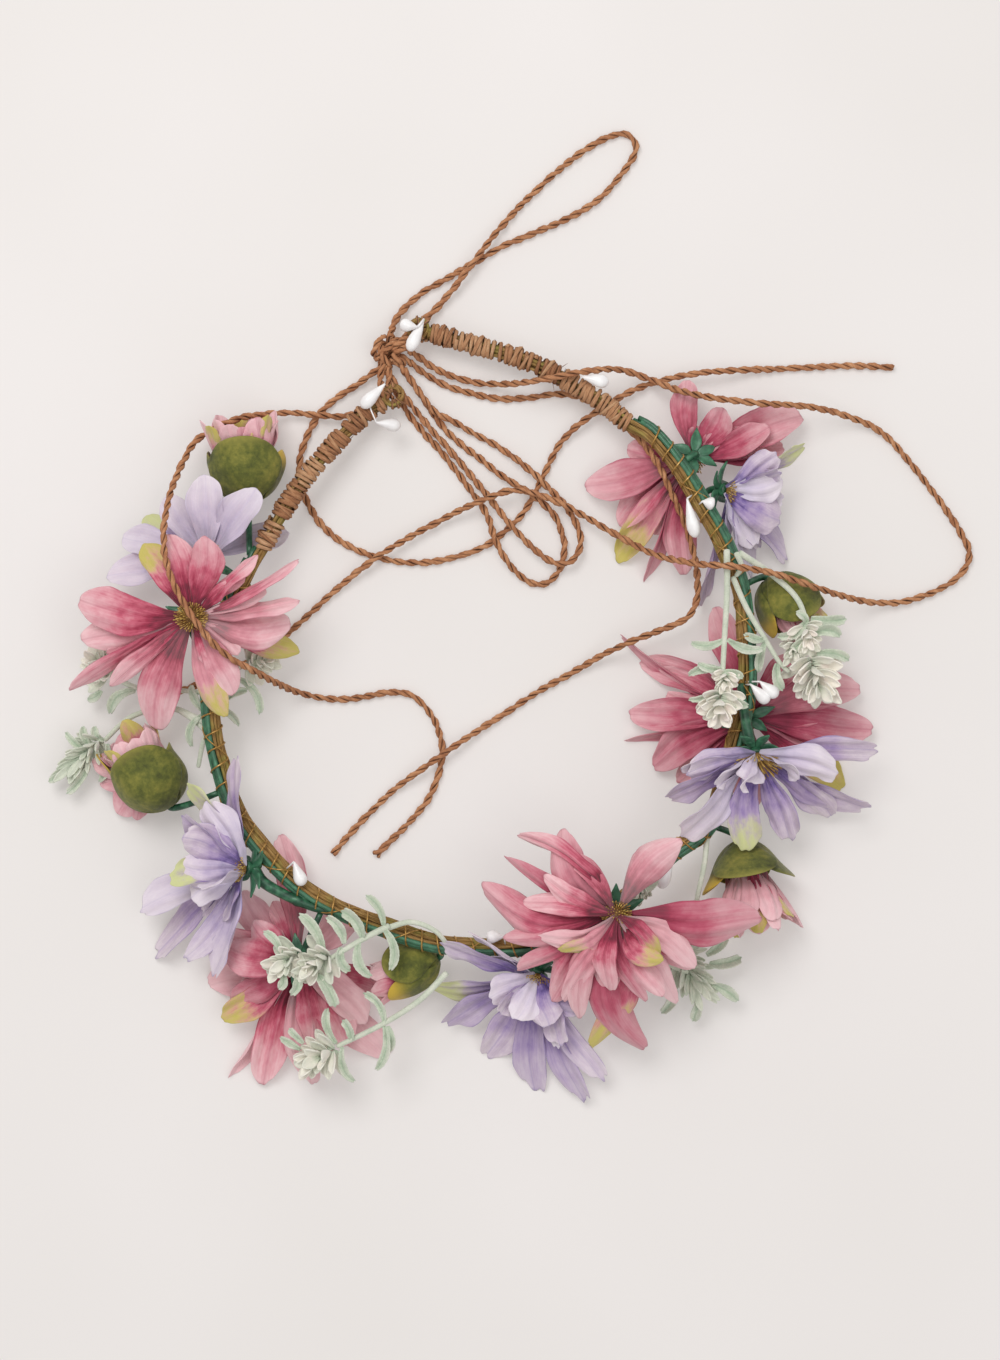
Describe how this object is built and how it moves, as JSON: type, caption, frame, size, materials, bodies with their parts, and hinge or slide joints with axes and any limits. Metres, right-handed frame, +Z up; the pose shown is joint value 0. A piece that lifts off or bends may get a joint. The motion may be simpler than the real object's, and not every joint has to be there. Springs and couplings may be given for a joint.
{
  "type": "flower crown",
  "caption": "Flower crown of pink and lilac fabric daisies, olive buds and pale sprigs on a paper-bound wire band, tied at the back with a bow of twisted paper cord.",
  "frame": {"origin": "on the surface the crown lies on, under the middle of the crown without its free cords", "axes": "+Z up, +Y towards the open back of the band where the bow is tied, +X to the wearer's right side as the crown lies"},
  "size_m": [0.3104, 0.3289, 0.0448],
  "materials": {
    "vine": "ochre paper-covered wire, matte",
    "wrap": "brown paper raffia, wound tight, matte",
    "stem": "moulded green plastic, satin",
    "wire": "thin golden-brown wire, satin",
    "cord": "two-ply twisted brown paper cord, matte",
    "pink": "pink printed polyester petals, matte",
    "purple": "lilac printed polyester petals, matte",
    "olive": "olive printed fabric sepals, matte",
    "stamen": "golden-brown fibre stamens, matte",
    "sprig": "pale green flocked plastic, velvety",
    "berry": "white waxed berries, semi-gloss"
  },
  "bodies": {
    "root": {"band_wire": "vine", "berries_left": "berry", "berries_right": "berry", "binding_wire": "wire", "bow_knot": "cord", "bud_1_petals": "pink", "bud_1_sepals": "olive", "bud_2_petals": "pink", "bud_2_sepals": "olive", "bud_3_petals": "pink", "bud_3_sepals": "olive", "bud_4_petals": "pink", "bud_4_sepals": "olive", "bud_5_petals": "pink", "bud_5_sepals": "olive", "flower_10_calyx": "stem", "flower_10_petals": "purple", "flower_10_stamens": "stamen", "flower_1_calyx": "stem", "flower_1_petals": "pink", "flower_1_stamens": "stamen", "flower_2_calyx": "stem", "flower_2_petals": "purple", "flower_2_stamens": "stamen", "flower_3_calyx": "stem", "flower_3_petals": "pink", "flower_3_stamens": "stamen", "flower_6_calyx": "stem", "flower_6_petals": "purple", "flower_6_stamens": "stamen", "flower_7_calyx": "stem", "flower_7_petals": "pink", "flower_7_stamens": "stamen", "flower_8_calyx": "stem", "flower_8_petals": "purple", "flower_8_stamens": "stamen", "flower_9_calyx": "stem", "flower_9_petals": "pink", "flower_9_stamens": "stamen", "left_wrap": "wrap", "loop_a": "cord", "loop_b": "cord", "right_wrap": "wrap", "sprig_1": "sprig", "sprig_2": "sprig", "sprig_5": "sprig", "stem_strand": "stem", "tail_l1": "cord", "tail_l2": "cord", "tail_r1": "cord", "tail_r2": "cord", "upper_loop": "cord"},
    "sprig_3_body": {"sprig_3": "sprig"},
    "sprig_4_body": {"sprig_4": "sprig"},
    "flower_5_body": {"flower_5_petals": "pink", "flower_5_calyx": "stem", "flower_5_stamens": "stamen"},
    "flower_4_body": {"flower_4_petals": "purple", "flower_4_calyx": "stem", "flower_4_stamens": "stamen"}
  },
  "joints": [
    {"name": "sprig_3_lift", "type": "hinge", "parent": "root", "child": "sprig_3_body", "pos_m": [-0.024, -0.071, 0.028], "axis": [-0.4821, 0.8761, 0], "range_deg": [0, 25]},
    {"name": "sprig_4_lift", "type": "hinge", "parent": "root", "child": "sprig_4_body", "pos_m": [-0.005, -0.087, 0.023], "axis": [-0.5429, 0.8398, 0], "range_deg": [0, 25]},
    {"name": "flower_5_nod", "type": "hinge", "parent": "root", "child": "flower_5_body", "pos_m": [0.05, -0.066, 0.026], "axis": [-0.862, -0.507, 0], "range_deg": [0, 12]},
    {"name": "flower_4_nod", "type": "hinge", "parent": "root", "child": "flower_4_body", "pos_m": [0.096, -0.011, 0.024], "axis": [-0.995, -0.1, 0], "range_deg": [0, 12]}
  ]
}
